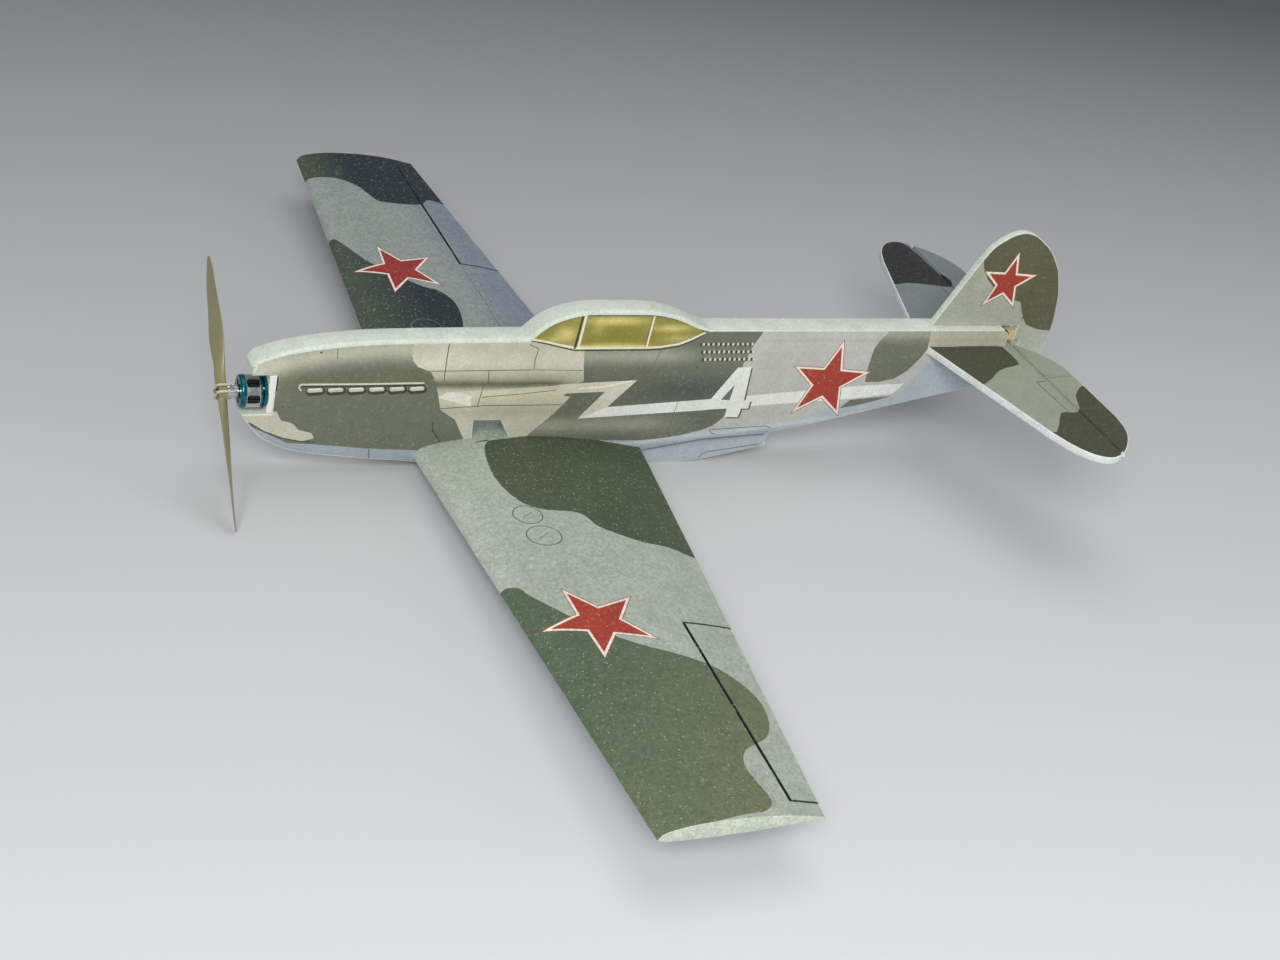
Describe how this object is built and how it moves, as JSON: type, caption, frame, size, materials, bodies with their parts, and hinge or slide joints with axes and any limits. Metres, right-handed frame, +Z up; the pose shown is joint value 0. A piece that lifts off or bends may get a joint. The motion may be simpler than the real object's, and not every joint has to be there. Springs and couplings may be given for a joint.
{
  "type": "rc warbird plane",
  "caption": "Foam radio-control warbird: a flat profile fuselage, lofted wing with ailerons, fixed fin, hinged elevator and a two-blade tractor propeller on an outrunner motor.",
  "frame": {"origin": "bottom centre of the bounding box, on the belly's resting plane", "axes": "+X out of the nose, +Y out of the port wing, +Z up"},
  "size_m": [0.7054, 0.886, 0.2088],
  "materials": {
    "slab_foam": "satin printed foam",
    "wing_foam": "satin printed foam",
    "tail_foam": "satin printed foam",
    "plywood": "bare plywood and hardwood",
    "carbon": "pultruded carbon rod",
    "white_nylon": "moulded nylon",
    "hinge_nylon": "moulded nylon",
    "teal_anodised": "teal anodised",
    "bare_aluminium": "machined",
    "steel": "bright steel",
    "magnet": "nickel plated magnets",
    "stator_iron": "coated laminations",
    "copper": "enamelled copper wire",
    "ring_rubber": "black rubber",
    "propeller_olive": "olive moulded plastic",
    "battery_wrap": "shrink wrap",
    "strap_fabric": "hook and loop band",
    "electronics_wrap": "heat shrink",
    "servo_case": "translucent blue plastic"
  },
  "bodies": {
    "airframe": {"fuselage_slab": "slab_foam", "wing_panel_port": "wing_foam", "wing_panel_starboard": "wing_foam", "fin": "tail_foam", "tail_key": "plywood", "stabiliser": "tail_foam", "wing_spar_port": "carbon", "wing_spar_starboard": "carbon", "spar_joiner": "carbon", "fuselage_longerons": "carbon", "stabiliser_spar": "carbon", "motor_mount_plate": "white_nylon", "motor_mount_stick": "plywood", "motor_screws": "steel", "motor_base": "teal_anodised", "motor_bearings": "steel", "stator": "stator_iron", "windings": "copper", "battery_pack": "battery_wrap", "battery_strap": "strap_fabric", "speed_controller": "electronics_wrap", "receiver": "electronics_wrap", "servo_aileron_port": "servo_case", "servo_aileron_starboard": "servo_case", "servo_elevator": "servo_case", "servo_screws": "steel", "hinge_leaves": "hinge_nylon", "hinge_pins": "steel", "pushrod_guides": "white_nylon"},
    "rotor": {"rotor_bell": "teal_anodised", "rotor_magnets": "magnet", "motor_shaft": "steel", "prop_saver": "bare_aluminium", "prop_saver_screws": "steel", "prop_ring": "ring_rubber", "propeller": "propeller_olive"},
    "aileron_port": {"aileron_port": "wing_foam", "aileron_hinge_tongues_port": "hinge_nylon", "aileron_horn_port": "white_nylon"},
    "aileron_starboard": {"aileron_starboard": "wing_foam", "aileron_hinge_tongues_starboard": "hinge_nylon", "aileron_horn_starboard": "white_nylon"},
    "elevator": {"elevator_port": "tail_foam", "elevator_starboard": "tail_foam", "elevator_joiner": "plywood", "elevator_hinge_tongues": "hinge_nylon", "elevator_horn": "white_nylon"},
    "servo_arm_port": {"servo_output_port": "bare_aluminium", "servo_arm_port": "white_nylon", "servo_arm_screw_port": "steel"},
    "servo_arm_starboard": {"servo_output_starboard": "bare_aluminium", "servo_arm_starboard": "white_nylon", "servo_arm_screw_starboard": "steel"},
    "servo_arm_elevator": {"servo_output_elevator": "bare_aluminium", "servo_arm_elevator": "white_nylon", "servo_arm_screw_elevator": "steel"},
    "pushrod_port": {"pushrod_aileron_port": "steel"},
    "pushrod_starboard": {"pushrod_aileron_starboard": "steel"},
    "pushrod_elevator": {"pushrod_elevator": "steel"}
  },
  "joints": [
    {"name": "propeller_spin", "type": "hinge", "parent": "airframe", "child": "rotor", "pos_m": [0.337, 0, 0.0675], "axis": [1, 0, 0], "continuous": true},
    {"name": "aileron_port_hinge", "type": "hinge", "parent": "airframe", "child": "aileron_port", "pos_m": [0.0838, 0.2514, 0.0339], "axis": [0.045, 0.9981, 0.0421], "range_deg": [-25, 25]},
    {"name": "aileron_starboard_hinge", "type": "hinge", "parent": "airframe", "child": "aileron_starboard", "pos_m": [0.0838, -0.2514, 0.0339], "axis": [-0.045, 0.9981, -0.0421], "range_deg": [-25, 25]},
    {"name": "elevator_hinge", "type": "hinge", "parent": "airframe", "child": "elevator", "pos_m": [-0.3152, 0, 0.1032], "axis": [0, 1, 0], "range_deg": [-25, 25]},
    {"name": "servo_port_turn", "type": "hinge", "parent": "airframe", "child": "servo_arm_port", "pos_m": [0.12797, 0.24534, 0.03064], "axis": [0.045, 0.9981, 0.0421], "range_deg": [-25, 25]},
    {"name": "servo_starboard_turn", "type": "hinge", "parent": "airframe", "child": "servo_arm_starboard", "pos_m": [0.12797, -0.24534, 0.03064], "axis": [-0.045, 0.9981, -0.0421], "range_deg": [-25, 25]},
    {"name": "servo_elevator_turn", "type": "hinge", "parent": "airframe", "child": "servo_arm_elevator", "pos_m": [-0.02, -0.02, 0.07], "axis": [0, 1, 0], "range_deg": [-25, 25]},
    {"name": "pushrod_port_pivot", "type": "hinge", "parent": "aileron_port", "child": "pushrod_port", "pos_m": [0.08406, 0.2577, 0.02216], "axis": [0.045, 0.9981, 0.0421], "range_deg": [-25, 25]},
    {"name": "pushrod_starboard_pivot", "type": "hinge", "parent": "aileron_starboard", "child": "pushrod_starboard", "pos_m": [0.08406, -0.2577, 0.02216], "axis": [-0.045, 0.9981, -0.0421], "range_deg": [-25, 25]},
    {"name": "pushrod_elevator_pivot", "type": "hinge", "parent": "elevator", "child": "pushrod_elevator", "pos_m": [-0.3152, -0.02, 0.0912], "axis": [0, 1, 0], "range_deg": [-25, 25]}
  ],
  "couplings": [
    {"joint": "aileron_starboard_hinge", "follows": "aileron_port_hinge", "ratio": -1},
    {"joint": "servo_port_turn", "follows": "aileron_port_hinge", "ratio": 1},
    {"joint": "pushrod_port_pivot", "follows": "aileron_port_hinge", "ratio": -1},
    {"joint": "servo_starboard_turn", "follows": "aileron_port_hinge", "ratio": -1},
    {"joint": "pushrod_starboard_pivot", "follows": "aileron_port_hinge", "ratio": 1},
    {"joint": "servo_elevator_turn", "follows": "elevator_hinge", "ratio": 1},
    {"joint": "pushrod_elevator_pivot", "follows": "elevator_hinge", "ratio": -1}
  ]
}
